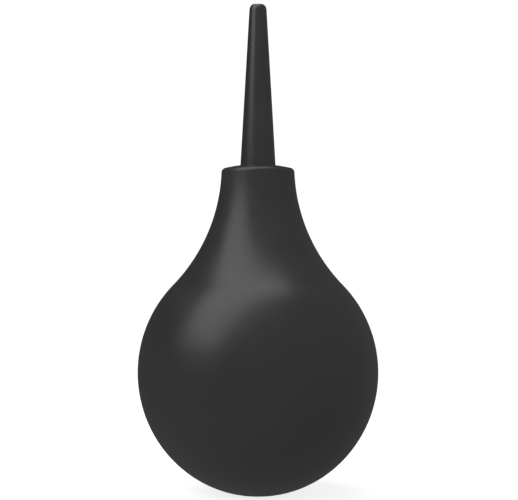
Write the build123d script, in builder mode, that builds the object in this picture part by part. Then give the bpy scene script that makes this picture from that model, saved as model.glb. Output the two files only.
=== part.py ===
from build123d import *
import math
import os

# Dust blower bulb: a pear-shaped rubber bulb that stands on its intake valve, with a
# tapered nozzle pushed into a bush in its neck. Air comes in through the valve in the
# base and leaves through a check valve in the neck bush.
# Millimetres, +Z up along the bulb's axis, origin at the centre of the foot.

# Driving dimensions: the bulb
bulb_radius = 31.05  # at the belly
bulb_rise = 31.9  # half height of the belly's ellipse
foot_radius = 5.85  # the flat that the blower stands on
waist_radius = 9.42  # narrowest part of the neck
flare_radius = 44.5  # concave arc between neck and belly
neck_top = 83.9  # height of the neck's rim, before its rounding
neck_dome = 1.2  # how far the domed top of the neck rises from the rim to the axis
rim_radius = 1.2  # rounding of the neck's rim
wall = 2.6  # rubber wall of the belly
lip_thickness = 1.3  # rubber that covers the top of the neck bush, at the rim

# Driving dimensions: the nozzle
nozzle_tip = 126.45  # height of the tip
nozzle_base_radius = 4.55  # where it comes out of the neck
nozzle_tip_radius = 2.25  # just under the rounded tip
tip_round_across = 1.05
tip_round_along = 1.7
outlet_radius = 0.9
outlet_length = 9.0
outlet_chamfer = 0.2
root_top_radius = 4.5  # the root tapers so that it holds in the bush
root_bottom_radius = 4.1
root_length = 12.0
duct_radius = 2.8  # air duct at the root

# Driving dimensions: what the two valves share
flap_thickness = 0.8
flap_lift = 1.0
stop_gap = 0.05  # between a fully lifted flap and its cage
cage_height = 1.0
spoke_width = 1.0
spoke_count = 3
seat_lip_height = 0.3
seat_lip_width = 0.5
seat_web = 1.2  # the floor that carries the seat lip
running_gap = 0.05  # between pieces that move apart
edge_break = 0.15  # small rounding of moulded edges

# Driving dimensions: the neck bush with the check valve
bush_radius = 6.2
bush_barb = 0.5
bush_barb_count = 4
bush_flange_radius = 8.2
bush_flange_thickness = 1.6
bush_snout_radius = 5.2
outlet_chamber_radius = 4.0
outlet_flap_radius = 3.3
outlet_seat_radius = 2.1

# Driving dimensions: the intake valve in the base
flange_radius = 8.0
flange_top = 1.7
barrel_radius = 5.6
barrel_top = 8.6
barrel_barb = 0.6
boss_radius = 10.5  # rubber boss that grips the barrel
boss_top = 7.1
chamber_rounding = 1.0  # inside corners of the air chamber
port_radius = 4.4
port_depth = 1.3
inlet_chamber_radius = 4.6
inlet_flap_radius = 3.9
inlet_seat_radius = 2.8
inlet_seat_top = 3.3
notch_count = 4
notch_width = 1.8
notch_depth = 0.45
screen_thickness = 0.3
screen_hole = 0.42
screen_pitch = 0.7
clip_thickness = 0.5
clip_bore_radius = 3.4
clip_gap = 1.6

# Heights that follow
belly_centre = bulb_rise * math.sqrt(1 - (foot_radius / bulb_radius) ** 2)
lip_bottom = neck_top - lip_thickness
socket_bottom = lip_bottom - root_length
outlet_cage_bottom = socket_bottom - 0.2 - cage_height
outlet_seat_top = outlet_cage_bottom - stop_gap - flap_lift - flap_thickness
bush_bottom = outlet_seat_top - seat_lip_height - seat_web
ceiling = bush_bottom + 0.7 + bush_flange_thickness + running_gap  # where the neck turns solid
inlet_cage_bottom = inlet_seat_top + flap_thickness + flap_lift + stop_gap


def belly_angle(radius):
    """Angle on the belly's ellipse, in degrees, of the point near the foot at this radius."""
    return -math.degrees(math.acos(radius / bulb_radius))


def neck_arc(inset, top):
    """The neck's concave arc, inset from the skin: where it leaves the belly, and its radius at the top.

    The arc touches the belly's ellipse and would narrow to the waist. The first value is the ellipse's
    angle at that touch, in radians, and the second is the distance from the axis at height top.
    """
    across, along = bulb_radius - inset, bulb_rise - inset
    waist, flare = waist_radius - inset, flare_radius + inset
    low, high = 0.0, math.pi / 2
    for _ in range(60):
        touch = (low + high) / 2
        normal = Vector(math.cos(touch) / across, math.sin(touch) / along).normalized()
        centre = Vector(across * math.cos(touch), belly_centre + along * math.sin(touch)) + normal * flare
        if centre.X > waist + flare:
            low = touch
        else:
            high = touch
    return touch, centre.X - math.sqrt(flare**2 - (top - centre.Y) ** 2)


def pear_side(inset, start_radius, top):
    """Belly and neck of the pear outline, inset from the skin, in the active BuildLine.

    The belly starts near the foot at start_radius, and the neck ends at height top.
    """
    across, along = bulb_radius - inset, bulb_rise - inset
    touch, top_radius = neck_arc(inset, top)
    start = -math.acos(start_radius / across)
    belly = EllipticalCenterArc(
        (0, belly_centre),
        across,
        along,
        start_angle=math.degrees(start),
        arc_size=math.degrees(touch - start),
    )
    neck = RadiusArc(belly @ 1, (top_radius, top), flare_radius + inset)
    return belly, neck


def bush_barrel(gap):
    """Points down the bush's barbed barrel, moved out by gap. The barbs resist a pull upwards."""
    radius = bush_radius + gap
    top, bottom = lip_bottom - 1.5, ceiling + 1.0
    pitch = (top - bottom) / bush_barb_count
    points = [(radius, lip_bottom - running_gap + gap)]
    for tooth in range(bush_barb_count):
        tooth_top = top - tooth * pitch
        points += [(radius, tooth_top), (radius + bush_barb, tooth_top - 0.2 * pitch)]
        points += [(radius, tooth_top - 0.9 * pitch)]
    return points


def cage(ring_outer, ring_inner, bottom):
    """A ring with a three-legged spider across it, which stops a lifted flap, in the active BuildPart."""
    with BuildSketch(Plane.XY.offset(bottom)) as outline:
        Circle(ring_outer)
        Circle(ring_inner, mode=Mode.SUBTRACT)
        Circle(spoke_width)
        with PolarLocations(0, spoke_count):
            Rectangle(ring_inner + 0.1, spoke_width, align=(Align.MIN, Align.CENTER))
    extrude(outline.sketch, amount=cage_height)


def flap(radius, bottom):
    """A flat valve disc with softened edges, in the active BuildPart."""
    with BuildSketch(Plane.XY.offset(bottom)) as outline:
        Circle(radius)
    disc = extrude(outline.sketch, amount=flap_thickness)
    fillet(disc.edges().filter_by(GeomType.CIRCLE), edge_break)


def export(piece, name):
    piece.part.label = name
    export_step(piece.part, f"parts/{name}.step")


# The domed top of the neck is part of a sphere
neck_radius = neck_arc(0, neck_top)[1]
dome_radius = (neck_dome**2 + neck_radius**2) / (2 * neck_dome)
crown = neck_top + neck_dome
nozzle_shoulder = crown - dome_radius + math.sqrt(dome_radius**2 - nozzle_base_radius**2)

# Bulb: skin, air chamber, boss in the base, solid neck with the socket for the bush
with BuildPart() as bulb:
    with BuildSketch(Plane.XZ):
        with BuildLine():
            belly, neck = pear_side(0, foot_radius, neck_top)
            RadiusArc(neck @ 1, (0, crown), -dome_radius)
            Polyline((0, crown), (0, 0), belly @ 0)
        make_face()
    revolve(axis=Axis.Z)
    rings = bulb.edges().filter_by(lambda edge: edge.is_closed).sort_by(Axis.Z)
    fillet(rings[-1], rim_radius)

    with BuildSketch(Plane.XZ):
        with BuildLine():
            belly, neck = pear_side(wall, boss_radius, ceiling)
            Polyline(neck @ 1, (0, ceiling), (0, boss_top), (boss_radius, boss_top), belly @ 0)
        make_face()
    revolve(axis=Axis.Z, mode=Mode.SUBTRACT)
    rings = bulb.edges(Select.LAST).filter_by(lambda edge: edge.is_closed).sort_by(Axis.Z)
    fillet([rings[0], rings[1], rings[-1]], chamber_rounding)

    with BuildSketch(Plane.XZ):
        with BuildLine():
            barrel = bush_barrel(running_gap)
            below_ceiling = ceiling - 1
            Polyline(
                (0, lip_bottom),
                *barrel,
                (bush_radius + running_gap, below_ceiling),
                (0, below_ceiling),
                close=True,
            )
        make_face()
    revolve(axis=Axis.Z, mode=Mode.SUBTRACT)
    with Locations((0, 0, lip_bottom)):
        Cylinder(
            nozzle_base_radius + 3 * running_gap,
            lip_thickness + 2 * neck_dome,
            align=(Align.CENTER, Align.CENTER, Align.MIN),
            mode=Mode.SUBTRACT,
        )
    rings = bulb.edges().filter_by(lambda edge: edge.is_closed).sort_by(Axis.Z)
    fillet(rings[-1], 2 * edge_break)

    Cylinder(barrel_radius, boss_top, align=(Align.CENTER, Align.CENTER, Align.MIN), mode=Mode.SUBTRACT)
    Cylinder(flange_radius, flange_top, align=(Align.CENTER, Align.CENTER, Align.MIN), mode=Mode.SUBTRACT)

# Nozzle: a tapered tube with a rounded tip and a tapered root that holds in the bush
with BuildPart() as nozzle:
    with BuildSketch(Plane.XZ):
        with BuildLine():
            tip_rounding = EllipticalCenterArc(
                (nozzle_tip_radius - tip_round_across, nozzle_tip - tip_round_along),
                tip_round_across,
                tip_round_along,
                start_angle=0,
                arc_size=90,
            )
            Polyline(
                tip_rounding @ 1,
                (outlet_radius + outlet_chamfer, nozzle_tip),
                (outlet_radius, nozzle_tip - outlet_chamfer),
                (outlet_radius, nozzle_tip - outlet_length),
                (duct_radius, lip_bottom),
                (duct_radius, socket_bottom + running_gap),
                (root_bottom_radius, socket_bottom + running_gap),
                (root_top_radius, lip_bottom),
                (nozzle_base_radius, nozzle_shoulder),
                tip_rounding @ 0,
            )
        make_face()
    revolve(axis=Axis.Z)
    root_end = nozzle.faces().sort_by(Axis.Z)[0]
    fillet(root_end.outer_wire().edges(), 2 * edge_break)

# Neck bush: barbed barrel with a tapered socket for the nozzle, over the check valve's seat
with BuildPart() as neck_bush:
    lip_radius = outlet_seat_radius + seat_lip_width
    web_top = outlet_seat_top - seat_lip_height
    flange_face = ceiling - running_gap
    with BuildSketch(Plane.XZ):
        with BuildLine():
            barrel = bush_barrel(0)
            Polyline(
                *barrel,
                (bush_radius, flange_face),
                (bush_flange_radius, flange_face),
                (bush_flange_radius, flange_face - bush_flange_thickness),
                (bush_snout_radius, flange_face - bush_flange_thickness),
                (bush_snout_radius, bush_bottom),
                (outlet_seat_radius, bush_bottom),
                (outlet_seat_radius, outlet_seat_top),
                (lip_radius, outlet_seat_top),
                (lip_radius, web_top),
                (outlet_chamber_radius, web_top),
                (outlet_chamber_radius, socket_bottom),
                (root_bottom_radius + running_gap, socket_bottom),
                (root_top_radius + running_gap, lip_bottom - running_gap),
                close=True,
            )
        make_face()
    revolve(axis=Axis.Z)
    flange_rim = neck_bush.edges().filter_by(GeomType.CIRCLE).group_by(SortBy.RADIUS)[-1]
    fillet(flange_rim, 2 * edge_break)

with BuildPart() as outlet_valve_disc:
    flap(outlet_flap_radius, outlet_seat_top)

with BuildPart() as outlet_valve_cage:
    cage(outlet_chamber_radius, outlet_chamber_radius - 0.8, outlet_cage_bottom)

# Intake valve body: its flange carries the foot and continues the bulb's curve
with BuildPart() as intake_valve_body:
    lip_radius = inlet_seat_radius + seat_lip_width
    web_top = inlet_seat_top - seat_lip_height
    foot_start = belly_angle(foot_radius)
    with BuildSketch(Plane.XZ):
        with BuildLine():
            underside = EllipticalCenterArc(
                (0, belly_centre),
                bulb_radius,
                bulb_rise,
                start_angle=foot_start,
                arc_size=belly_angle(flange_radius) - foot_start,
            )
            Polyline(
                underside @ 1,
                (flange_radius, flange_top),
                (barrel_radius, flange_top),
                (barrel_radius, boss_top),
                (barrel_radius + barrel_barb, boss_top),
                (barrel_radius + barrel_barb, boss_top + 0.4),
                (barrel_radius - 0.2, barrel_top),
                (inlet_chamber_radius, barrel_top),
                (inlet_chamber_radius, web_top),
                (lip_radius, web_top),
                (lip_radius, inlet_seat_top),
                (inlet_seat_radius, inlet_seat_top),
                (inlet_seat_radius, port_depth),
                (port_radius, port_depth),
                (port_radius, 0),
                underside @ 0,
            )
        make_face()
    revolve(axis=Axis.Z)
    with PolarLocations((port_radius + flange_radius) / 2, notch_count, start_angle=45):
        Box(
            flange_radius - port_radius + 1,
            notch_width,
            notch_depth,
            align=(Align.CENTER, Align.CENTER, Align.MIN),
            mode=Mode.SUBTRACT,
        )

with BuildPart() as intake_valve_disc:
    flap(inlet_flap_radius, inlet_seat_top)

with BuildPart() as intake_valve_cage:
    cage(inlet_chamber_radius, inlet_chamber_radius - 0.8, inlet_cage_bottom)

# Dust screen in the intake port, and the split ring that keeps it there
with BuildPart() as intake_screen:
    screen_radius = port_radius - running_gap
    holes_across = 2 * math.floor((screen_radius - 0.9) / screen_pitch) + 1
    with BuildSketch(Plane.XY.offset(port_depth - screen_thickness)):
        Circle(screen_radius)
        with GridLocations(screen_pitch, screen_pitch, holes_across, holes_across) as grid:
            inside = [spot for spot in grid.locations if spot.position.length < screen_radius - 0.8]
        with Locations(*inside):
            Rectangle(screen_hole, screen_hole, mode=Mode.SUBTRACT)
    extrude(amount=screen_thickness)

with BuildPart() as screen_clip:
    with BuildSketch(Plane.XY.offset(port_depth - screen_thickness - clip_thickness)):
        Circle(port_radius)
        Circle(clip_bore_radius, mode=Mode.SUBTRACT)
        Rectangle(2 * port_radius, clip_gap, align=(Align.MIN, Align.CENTER), mode=Mode.SUBTRACT)
    extrude(amount=clip_thickness)
    fillet(screen_clip.edges().filter_by(Axis.Z), edge_break)

os.makedirs("parts", exist_ok=True)
export(bulb, "bulb")
export(nozzle, "nozzle")
export(neck_bush, "neck_bush")
export(outlet_valve_disc, "outlet_valve_disc")
export(outlet_valve_cage, "outlet_valve_cage")
export(intake_valve_body, "intake_valve_body")
export(intake_valve_disc, "intake_valve_disc")
export(intake_valve_cage, "intake_valve_cage")
export(intake_screen, "intake_screen")
export(screen_clip, "screen_clip")
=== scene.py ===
import math

import bpy
from mathutils import Matrix, Vector


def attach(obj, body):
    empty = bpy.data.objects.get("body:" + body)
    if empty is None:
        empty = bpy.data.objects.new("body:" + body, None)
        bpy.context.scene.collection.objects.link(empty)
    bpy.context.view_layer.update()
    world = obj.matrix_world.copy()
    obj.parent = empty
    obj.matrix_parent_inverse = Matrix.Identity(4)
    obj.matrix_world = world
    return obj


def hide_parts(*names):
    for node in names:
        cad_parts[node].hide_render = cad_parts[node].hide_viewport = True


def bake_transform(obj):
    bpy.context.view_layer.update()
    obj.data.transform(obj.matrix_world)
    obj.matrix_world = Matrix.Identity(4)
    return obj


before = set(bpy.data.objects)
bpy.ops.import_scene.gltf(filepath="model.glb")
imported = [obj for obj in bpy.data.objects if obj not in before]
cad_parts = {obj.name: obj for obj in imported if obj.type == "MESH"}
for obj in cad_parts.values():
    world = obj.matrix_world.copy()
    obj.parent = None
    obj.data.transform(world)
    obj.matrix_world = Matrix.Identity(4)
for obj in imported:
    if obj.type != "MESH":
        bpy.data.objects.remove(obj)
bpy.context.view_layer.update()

# Dust blower bulb. Everything is in the CAD frame: Z up along the bulb's axis, the foot on z = 0.
# Profiles are runs of (radius, height) in millimetres, and the meshes are built in metres.
MM = 0.001

# The bulb's outside, as the CAD has it
BELLY_RADIUS = 31.05
BELLY_RISE = 31.9  # half height of the belly's ellipse
FOOT_RADIUS = 5.85
BELLY_CENTRE = BELLY_RISE * math.sqrt(1 - (FOOT_RADIUS / BELLY_RADIUS) ** 2)
WAIST_RADIUS = 9.42  # what the neck would narrow to
FLARE_RADIUS = 44.5
NECK_TOP = 83.9  # the rim, before its rounding
NECK_DOME = 1.2  # how far the neck's top rises from the rim to the axis
RIM_RADIUS = 1.2
MOUTH_RADIUS = 4.7
MOUTH_ROUND = 0.3

# The bulb's inside
WALL = 2.6
CHAMBER_ROUND = 1.0
BOSS_RADIUS = 10.5
BOSS_TOP = 7.1
RECESS_RADIUS = 8.0  # for the intake valve's flange
RECESS_TOP = 1.7
BASE_BORE = 5.6
CEILING = 68.4  # where the neck turns solid
LIP_BOTTOM = 82.6
BUSH_BORE = 6.25
BARB_DEPTH = 0.5
BARB_COUNT = 4
BARB_MARGINS = (1.5, 1.0)  # plain bore above and below the barbs
BARB_SHAPE = (0.2, 0.9)  # where in its pitch a barb is deepest, and where it ends

# The nozzle
TIP_TOP = 126.45
TIP_RADIUS = 2.25
TIP_ROUND = (1.05, 1.7)  # across and along
OUTLET_RADIUS = 0.9
OUTLET_LENGTH = 9.0
OUTLET_CHAMFER = 0.2
NOZZLE_BASE = 4.55
ROOT_TOP = 4.5
ROOT_BOTTOM = 4.1
ROOT_END = 70.65
ROOT_ROUND = 0.3
DUCT_RADIUS = 2.8

# Parting line of the bulb's mould: distance from the line, and depth below the true surface
PARTING = ((0.0, 0.0), (0.08, 0.004), (0.17, 0.045), (0.3, 0.05), (0.5, 0.03), (0.9, 0.0))

# How fine the meshes are: steps along the profiles in millimetres, then faces along their arcs
BELLY_STEP = 0.9
CHAMBER_STEP = 1.6
MOUTH_STEP = 0.5
NOZZLE_STEP = 2.0
FLARE_FACES = 44
INNER_FLARE_FACES = 12
RIM_FACES = 12
DOME_FACES = 8
TIP_FACES = 12
CORNER_FACES = 5
HALF_COLUMNS = 84  # faces round the bulb from one parting line to the other
NOZZLE_COLUMNS = 96  # faces round the nozzle
SHARP_ANGLE = math.radians(32)  # edges that turn further than this are shaded sharp

HALVINGS = 60  # steps of a search by halving


def flare_of(inset):
    """Where the neck's arc touches the belly's ellipse, moved in by inset: angle, centre and radius."""
    across, along = BELLY_RADIUS - inset, BELLY_RISE - inset
    flare = FLARE_RADIUS + inset
    low, high = 0.0, math.pi / 2
    for _ in range(HALVINGS):
        touch = (low + high) / 2
        normal = Vector((math.cos(touch) / across, math.sin(touch) / along)).normalized()
        on_belly = Vector((across * math.cos(touch), BELLY_CENTRE + along * math.sin(touch)))
        centre = on_belly + normal * flare
        if centre.x > WAIST_RADIUS - inset + flare:
            low = touch
        else:
            high = touch
    return touch, centre, flare


def belly_points(inset, start_radius, touch, step):
    """Points up the belly, from start_radius near the base to the angle touch."""
    across, along = BELLY_RADIUS - inset, BELLY_RISE - inset
    start = -math.acos(start_radius / across)
    count = int((touch - start) * across / step)
    angles = [start + (touch - start) * i / count for i in range(count + 1)]
    return [(across * math.cos(a), BELLY_CENTRE + along * math.sin(a)) for a in angles]


def arc_points(centre, radius, start, end, count):
    """Points on an arc, both ends included. Angles in radians."""
    angles = [start + (end - start) * i / count for i in range(count + 1)]
    return [(centre[0] + radius * math.cos(a), centre[1] + radius * math.sin(a)) for a in angles]


def round_corner(before, corner, after, radius):
    """The run before, corner, after with the corner rounded. Its two ends stay."""
    here = Vector(corner)
    back, ahead = (Vector(before) - here).normalized(), (Vector(after) - here).normalized()
    half = back.angle(ahead) / 2
    reach = radius / math.tan(half)
    centre = here + (back + ahead).normalized() * (radius / math.sin(half))
    first, last = here + back * reach - centre, here + ahead * reach - centre
    turn = first.angle_signed(last)
    turns = [turn * i / CORNER_FACES for i in range(CORNER_FACES + 1)]
    spots = [centre + first @ Matrix.Rotation(part, 2) for part in turns]
    return [before, *((spot.x, spot.y) for spot in spots), after]


def divided(points, step):
    """The same run with points added so that none are further apart than step."""
    out = [points[0]]
    for (r0, z0), (r1, z1) in zip(points, points[1:]):
        count = max(1, math.ceil(math.hypot(r1 - r0, z1 - z0) / step))
        out += [(r0 + (r1 - r0) * i / count, z0 + (z1 - z0) * i / count) for i in range(1, count + 1)]
    return out


def normals_of(profile):
    """Unit normals of a closed profile, pointing to its right-hand side."""
    out = []
    for i in range(len(profile)):
        (r0, z0), (r1, z1) = profile[i - 1], profile[(i + 1) % len(profile)]
        run = math.hypot(r1 - r0, z1 - z0)
        out.append(((z1 - z0) / run, -(r1 - r0) / run))
    return out


def plain_columns(radius):
    """Even angles round the nozzle, the same at every radius and with no depth."""
    return [(2 * math.pi * i / NOZZLE_COLUMNS, 0.0) for i in range(NOZZLE_COLUMNS)]


def parted_columns(radius):
    """Angles round the bulb with the depth at each: close together at the parting line, then even."""
    line = [(-offset / radius, depth) for offset, depth in PARTING[:0:-1]]
    line += [(offset / radius, depth) for offset, depth in PARTING]
    gap = PARTING[-1][0] / radius
    sweep = math.pi - 2 * gap
    side = [(gap + sweep * i / HALF_COLUMNS, 0.0) for i in range(1, HALF_COLUMNS)]
    half = line + side
    return half + [(angle + math.pi, depth) for angle, depth in half]


def revolve(name, profile, columns, skin):
    """A ring whose section is a closed profile, anticlockwise with the radius to the right.

    columns(radius) gives the angles and the depth at each. The first skin points of the profile take
    the depth, and the others don't.
    """
    verts, faces = [], []
    for index, ((r, z), (across, along)) in enumerate(zip(profile, normals_of(profile))):
        for angle, depth in columns(r):
            inwards = depth if index < skin else 0.0
            radius, height = r - across * inwards, z - along * inwards
            verts.append((radius * math.cos(angle) * MM, radius * math.sin(angle) * MM, height * MM))
    rings = len(profile)
    row = len(verts) // rings
    for i in range(rings):
        j = (i + 1) % rings
        for k in range(row):
            m = (k + 1) % row
            faces.append((i * row + k, i * row + m, j * row + m, j * row + k))
    mesh = bpy.data.meshes.new(name)
    mesh.from_pydata(verts, [], faces)
    mesh.update()
    mesh.shade_smooth()
    mesh.set_sharp_from_angle(angle=SHARP_ANGLE)
    piece = bpy.data.objects.new(name, mesh)
    bpy.context.scene.collection.objects.link(piece)
    return piece


# --- Bulb ---------------------------------------------------------------------------------------

def neck_dome():
    """The sphere of the neck's domed top: the height of its centre, and its radius."""
    _, centre, flare = flare_of(0)
    neck_radius = centre.x - math.sqrt(flare**2 - (NECK_TOP - centre.y) ** 2)
    radius = (NECK_DOME**2 + neck_radius**2) / (2 * NECK_DOME)
    return NECK_TOP + NECK_DOME - radius, radius


def rim_centre():
    """The centre of the rim's rounding, which touches the flare from outside and the dome from inside."""
    _, centre, flare = flare_of(0)
    dome_z, dome = neck_dome()
    low, high = MOUTH_RADIUS, BELLY_RADIUS / 2
    for _ in range(HALVINGS):
        r = (low + high) / 2
        z = dome_z + math.sqrt((dome - RIM_RADIUS) ** 2 - r**2)
        if math.hypot(r - centre.x, z - centre.y) > flare + RIM_RADIUS:
            low = r
        else:
            high = r
    return r, z


def bulb_outside():
    """The profile from the recess in the base, up the belly and neck, over the rim and into the mouth."""
    touch, centre, flare = flare_of(0)
    dome_z, dome = neck_dome()
    r, z = rim_centre()
    to_flare = math.atan2(centre.y - z, centre.x - r)
    to_dome = math.atan2(z - dome_z, r)
    skin = belly_points(0, RECESS_RADIUS, touch, BELLY_STEP)
    start = math.atan2(skin[-1][1] - centre.y, skin[-1][0] - centre.x) % (2 * math.pi)
    skin += arc_points(centre, flare, start, to_flare + math.pi, FLARE_FACES)[1:]
    skin += arc_points((r, z), RIM_RADIUS, to_flare, to_dome, RIM_FACES)[1:]
    crown = arc_points((0, dome_z), dome, to_dome, math.acos(MOUTH_RADIUS / dome), DOME_FACES)
    mouth = round_corner(*crown[-2:], (MOUTH_RADIUS, LIP_BOTTOM), MOUTH_ROUND)
    return skin + crown[1:-1] + divided(mouth[1:], MOUTH_STEP)


def bulb_inside():
    """The profile on from the mouth: down the barbed bore, round the air chamber, and out at the base."""
    top, bottom = LIP_BOTTOM - BARB_MARGINS[0], CEILING + BARB_MARGINS[1]
    pitch = (top - bottom) / BARB_COUNT
    bore = [(BUSH_BORE, LIP_BOTTOM)]
    for tooth in range(BARB_COUNT):
        start = top - tooth * pitch
        deepest, end = (start - part * pitch for part in BARB_SHAPE)
        bore += [(BUSH_BORE, start), (BUSH_BORE + BARB_DEPTH, deepest), (BUSH_BORE, end)]
    touch, centre, flare = flare_of(WALL)
    chamber = belly_points(WALL, BOSS_RADIUS, touch, CHAMBER_STEP)
    start = math.atan2(chamber[-1][1] - centre.y, chamber[-1][0] - centre.x) % (2 * math.pi)
    end = math.pi + math.asin((centre.y - CEILING) / flare)
    chamber += arc_points(centre, flare, start, end, INNER_FLARE_FACES)[1:]
    chamber.reverse()
    corner = round_corner((BUSH_BORE, CEILING), chamber[0], chamber[1], CHAMBER_ROUND)
    boss = round_corner(chamber[-1], (BOSS_RADIUS, BOSS_TOP), (BASE_BORE, BOSS_TOP), CHAMBER_ROUND)
    base = [(BASE_BORE, RECESS_TOP), (RECESS_RADIUS, RECESS_TOP)]
    return bore + corner[:-1] + chamber[1:] + boss[1:] + base


outside = bulb_outside()
bulb_skin = revolve("bulb_skin", outside + bulb_inside(), parted_columns, skin=len(outside))


# --- Nozzle -------------------------------------------------------------------------------------

def nozzle_profile():
    """The nozzle's section: up the outside, over the tip, down the duct and round the root's end."""
    dome_z, dome = neck_dome()
    shoulder = dome_z + math.sqrt(dome**2 - NOZZLE_BASE**2)
    tip_r, tip_z = TIP_RADIUS - TIP_ROUND[0], TIP_TOP - TIP_ROUND[1]
    side = divided([(ROOT_TOP, LIP_BOTTOM), (NOZZLE_BASE, shoulder), (TIP_RADIUS, tip_z)], NOZZLE_STEP)
    quarter = [math.pi / 2 * i / TIP_FACES for i in range(TIP_FACES + 1)]
    tip = [(tip_r + TIP_ROUND[0] * math.cos(a), tip_z + TIP_ROUND[1] * math.sin(a)) for a in quarter]
    duct = [
        (OUTLET_RADIUS + OUTLET_CHAMFER, TIP_TOP),
        (OUTLET_RADIUS, TIP_TOP - OUTLET_CHAMFER),
        (OUTLET_RADIUS, TIP_TOP - OUTLET_LENGTH),
        (DUCT_RADIUS, LIP_BOTTOM),
    ]
    root = round_corner((DUCT_RADIUS, ROOT_END), (ROOT_BOTTOM, ROOT_END), side[0], ROOT_ROUND)
    return side + tip[1:] + duct + root[:-1]


nozzle_tube = revolve("nozzle_tube", nozzle_profile(), plain_columns, skin=0)


# --- Materials ----------------------------------------------------------------------------------

# Where nearly all of a noise's values lie, and those of two noises added
NOISE_RANGE = (0.3, 0.7)
NOISE_SUM_RANGE = (0.7, 1.3)


def noise(mat, place, size, detail):
    """A noise texture with features of the given size in metres."""
    texture = mat.node_tree.nodes.new("ShaderNodeTexNoise")
    texture.inputs["Scale"].default_value = 1 / size
    texture.inputs["Detail"].default_value = detail
    mat.node_tree.links.new(place.outputs["Object"], texture.inputs["Vector"])
    return texture


def material(name, dark, light, patch, grain, bump, rough, metallic=0.0, specular=0.5):
    """A moulded or metal surface: colour and roughness that drift over patches, and a fine grain.

    Colours run from dark to light, and roughness over the pair rough. patch and grain are the sizes of
    the drift and of the grain in metres, and bump is the grain's height.
    """
    mat = bpy.data.materials.new(name)
    mat.use_nodes = True
    nodes, links = mat.node_tree.nodes, mat.node_tree.links
    shader = nodes["Principled BSDF"]
    shader.inputs["Metallic"].default_value = metallic
    shader.inputs["Specular IOR Level"].default_value = specular
    place = nodes.new("ShaderNodeTexCoord")
    drift = noise(mat, place, patch, detail=4)
    fine = noise(mat, place, grain, detail=2)
    tint = nodes.new("ShaderNodeValToRGB")
    first, last = tint.color_ramp.elements
    first.position, last.position = NOISE_RANGE
    first.color, last.color = (*dark, 1), (*light, 1)
    links.new(drift.outputs["Fac"], tint.inputs["Fac"])
    links.new(tint.outputs["Color"], shader.inputs["Base Color"])
    both = nodes.new("ShaderNodeMath")
    both.operation = "ADD"
    links.new(drift.outputs["Fac"], both.inputs[0])
    links.new(fine.outputs["Fac"], both.inputs[1])
    gloss = nodes.new("ShaderNodeMapRange")
    gloss.inputs["From Min"].default_value = NOISE_SUM_RANGE[0]
    gloss.inputs["From Max"].default_value = NOISE_SUM_RANGE[1]
    gloss.inputs["To Min"].default_value = rough[0]
    gloss.inputs["To Max"].default_value = rough[1]
    links.new(both.outputs[0], gloss.inputs["Value"])
    links.new(gloss.outputs["Result"], shader.inputs["Roughness"])
    relief = nodes.new("ShaderNodeBump")
    relief.inputs["Strength"].default_value = 1.0
    relief.inputs["Distance"].default_value = bump
    links.new(fine.outputs["Fac"], relief.inputs["Height"])
    links.new(relief.outputs["Normal"], shader.inputs["Normal"])
    return mat


def black(name, dark, light, **rest):
    """A neutral black between two grey levels."""
    return material(name, (dark,) * 3, (light,) * 3, **rest)


rubber = black(
    "rubber_black",
    0.027,
    0.032,
    patch=0.014,
    grain=0.0003,
    bump=0.00001,
    rough=(0.29, 0.43),
)
plastic = black(
    "plastic_black",
    0.0175,
    0.0215,
    patch=0.008,
    grain=0.00025,
    bump=0.000004,
    rough=(0.29, 0.34),
    specular=0.66,
)
valve_plastic = black(
    "valve_plastic",
    0.02,
    0.027,
    patch=0.004,
    grain=0.0002,
    bump=0.000008,
    rough=(0.4, 0.5),
)
silicone = material(
    "silicone",
    (0.55, 0.53, 0.48),
    (0.64, 0.62, 0.57),
    patch=0.002,
    grain=0.0002,
    bump=0.000006,
    rough=(0.4, 0.5),
)
steel = material(
    "screen_steel",
    (0.5, 0.5, 0.49),
    (0.6, 0.6, 0.59),
    patch=0.001,
    grain=0.00008,
    bump=0.000004,
    rough=(0.28, 0.4),
    metallic=1.0,
)
spring = material(
    "spring_steel",
    (0.45, 0.45, 0.45),
    (0.55, 0.55, 0.54),
    patch=0.001,
    grain=0.00006,
    bump=0.000003,
    rough=(0.22, 0.34),
    metallic=1.0,
)


def paint(piece, mat):
    piece.data.materials.clear()
    piece.data.materials.append(mat)


paint(bulb_skin, rubber)
paint(nozzle_tube, plastic)
for node, mat in (
    ("neck_bush", valve_plastic),
    ("outlet_valve_cage", valve_plastic),
    ("intake_valve_body", valve_plastic),
    ("intake_valve_cage", valve_plastic),
    ("outlet_valve_disc", silicone),
    ("intake_valve_disc", silicone),
    ("intake_screen", steel),
    ("screen_clip", spring),
):
    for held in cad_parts[node].material_slots:
        held.material = mat


# --- Bodies -------------------------------------------------------------------------------------

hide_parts("bulb")
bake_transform(bulb_skin)
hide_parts("nozzle")
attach(nozzle_tube, "nozzle")


# --- Lights -------------------------------------------------------------------------------------

SOFTBOX_TARGET = Vector((0, 0, 0.06))

# The fill's strength in a direction d is FILL_LEVEL + d . FILL_LEAN + d.x * (d . FILL_TWIST)
FILL_LEVEL = 0.335
FILL_LEAN = (0.065, -0.236, -0.119)  # more from the camera's side and from below
FILL_TWIST = (0.071, 0, 0.182)  # more from the upper right and the lower left
BACKDROP = 1.05  # the plain white that the camera sees


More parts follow.
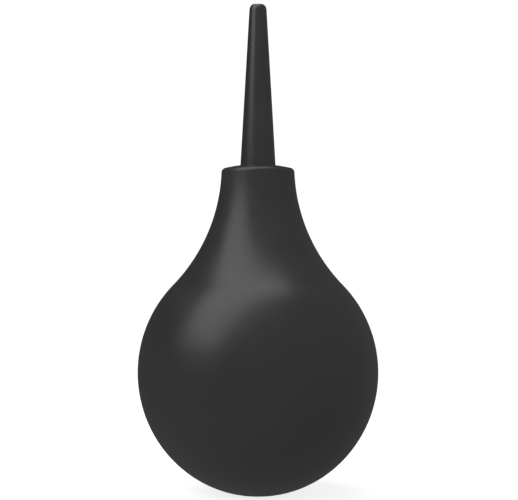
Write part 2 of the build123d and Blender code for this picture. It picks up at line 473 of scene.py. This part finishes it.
def softbox(name, azimuth, elevation, distance, size, power):
    """A rectangular light that faces the target. Azimuth 0 is the camera's side, positive to its right."""
    a, e = math.radians(azimuth), math.radians(elevation)
    away = Vector((math.sin(a) * math.cos(e), -math.cos(a) * math.cos(e), math.sin(e)))
    data = bpy.data.lights.new(name, "AREA")
    data.shape = "RECTANGLE"
    data.size, data.size_y = size
    data.energy = power
    lamp = bpy.data.objects.new(name, data)
    lamp.location = SOFTBOX_TARGET + away * distance
    lamp.rotation_euler = (math.pi / 2 - e, 0, a)
    lamp.visible_camera = False
    bpy.context.scene.collection.objects.link(lamp)


def studio_world():
    """Plain white to the camera, and a soft uneven fill to everything else."""
    world = bpy.data.worlds.new("studio")
    world.use_nodes = True
    nodes, links = world.node_tree.nodes, world.node_tree.links
    nodes.clear()
    direction = nodes.new("ShaderNodeTexCoord").outputs["Generated"]
    lean = nodes.new("ShaderNodeVectorMath")
    lean.operation = "DOT_PRODUCT"
    lean.inputs[1].default_value = FILL_LEAN
    twist = nodes.new("ShaderNodeVectorMath")
    twist.operation = "DOT_PRODUCT"
    twist.inputs[1].default_value = FILL_TWIST
    parts = nodes.new("ShaderNodeSeparateXYZ")
    for vector_input in (lean.inputs[0], twist.inputs[0], parts.inputs[0]):
        links.new(direction, vector_input)
    uneven = nodes.new("ShaderNodeMath")
    uneven.operation = "MULTIPLY_ADD"
    links.new(parts.outputs["X"], uneven.inputs[0])
    links.new(twist.outputs["Value"], uneven.inputs[1])
    links.new(lean.outputs["Value"], uneven.inputs[2])
    strength = nodes.new("ShaderNodeMath")
    strength.operation = "ADD"
    strength.inputs[1].default_value = FILL_LEVEL
    links.new(uneven.outputs["Value"], strength.inputs[0])
    fill = nodes.new("ShaderNodeBackground")
    links.new(strength.outputs["Value"], fill.inputs["Strength"])
    backdrop = nodes.new("ShaderNodeBackground")
    backdrop.inputs["Color"].default_value = (1, 1, 1, 1)
    backdrop.inputs["Strength"].default_value = BACKDROP
    path = nodes.new("ShaderNodeLightPath")
    choose = nodes.new("ShaderNodeMixShader")
    out = nodes.new("ShaderNodeOutputWorld")
    links.new(path.outputs["Is Camera Ray"], choose.inputs["Fac"])
    links.new(fill.outputs["Background"], choose.inputs[1])
    links.new(backdrop.outputs["Background"], choose.inputs[2])
    links.new(choose.outputs["Shader"], out.inputs["Surface"])
    return world


softbox("key", azimuth=-59, elevation=64, distance=0.33, size=(0.28, 0.68), power=1.18)
bpy.context.scene.world = studio_world()


# --- Floor --------------------------------------------------------------------------------------

FLOOR_RADIUS = 0.6
FLOOR_FADE = (0.2, 0.58)  # distance from the object over which the floor fades into the backdrop
FLOOR_COLOUR = 0.8
FLOOR_GLOW = 0.8  # so that the floor is as white as the backdrop where no shadow falls


def floor_disc(radius, rings, spokes):
    """A flat disc made of rings of faces round a fan."""
    verts = [(0, 0, 0)]
    for i in range(1, rings + 1):
        for k in range(spokes):
            a = 2 * math.pi * k / spokes
            verts.append((radius * i / rings * math.cos(a), radius * i / rings * math.sin(a), 0))
    faces = [(0, 1 + k, 1 + (k + 1) % spokes) for k in range(spokes)]
    for i in range(rings - 1):
        for k in range(spokes):
            a, b = 1 + i * spokes + k, 1 + i * spokes + (k + 1) % spokes
            faces.append((a, a + spokes, b + spokes, b))
    mesh = bpy.data.meshes.new("floor")
    mesh.from_pydata(verts, [], faces)
    piece = bpy.data.objects.new("floor", mesh)
    bpy.context.scene.collection.objects.link(piece)
    return piece


def floor_white():
    """Matt white that takes shadows and turns transparent towards the disc's edge."""
    mat = bpy.data.materials.new("floor_white")
    mat.use_nodes = True
    nodes, links = mat.node_tree.nodes, mat.node_tree.links
    nodes.clear()
    place = nodes.new("ShaderNodeTexCoord")
    reach = nodes.new("ShaderNodeVectorMath")
    reach.operation = "LENGTH"
    fade = nodes.new("ShaderNodeMapRange")
    fade.interpolation_type = "SMOOTHSTEP"
    fade.inputs["From Min"].default_value = FLOOR_FADE[0]
    fade.inputs["From Max"].default_value = FLOOR_FADE[1]
    matt = nodes.new("ShaderNodeBsdfDiffuse")
    matt.inputs["Color"].default_value = (FLOOR_COLOUR, FLOOR_COLOUR, FLOOR_COLOUR, 1)
    glow = nodes.new("ShaderNodeEmission")
    glow.inputs["Strength"].default_value = FLOOR_GLOW
    lit = nodes.new("ShaderNodeAddShader")
    clear = nodes.new("ShaderNodeBsdfTransparent")
    choose = nodes.new("ShaderNodeMixShader")
    out = nodes.new("ShaderNodeOutputMaterial")
    links.new(place.outputs["Object"], reach.inputs[0])
    links.new(reach.outputs["Value"], fade.inputs["Value"])
    links.new(fade.outputs["Result"], choose.inputs["Fac"])
    links.new(matt.outputs["BSDF"], lit.inputs[0])
    links.new(glow.outputs["Emission"], lit.inputs[1])
    links.new(lit.outputs["Shader"], choose.inputs[1])
    links.new(clear.outputs["BSDF"], choose.inputs[2])
    links.new(choose.outputs["Shader"], out.inputs["Surface"])
    return mat


floor = floor_disc(FLOOR_RADIUS, rings=6, spokes=96)
paint(floor, floor_white())
floor.visible_diffuse = False
floor.visible_glossy = False


# --- Camera -------------------------------------------------------------------------------------

LENS = 111.2
SENSOR = 36
CAMERA_PLACE = (0.00026, -0.4139, 0.06292)  # level, at half the object's height

camera_data = bpy.data.cameras.new("camera")
camera_data.lens = LENS
camera_data.sensor_width = SENSOR
camera = bpy.data.objects.new("camera", camera_data)
camera.location = CAMERA_PLACE
camera.rotation_euler = (math.pi / 2, 0, 0)
bpy.context.scene.collection.objects.link(camera)
bpy.context.scene.camera = camera
bpy.context.scene.view_settings.view_transform = "Standard"
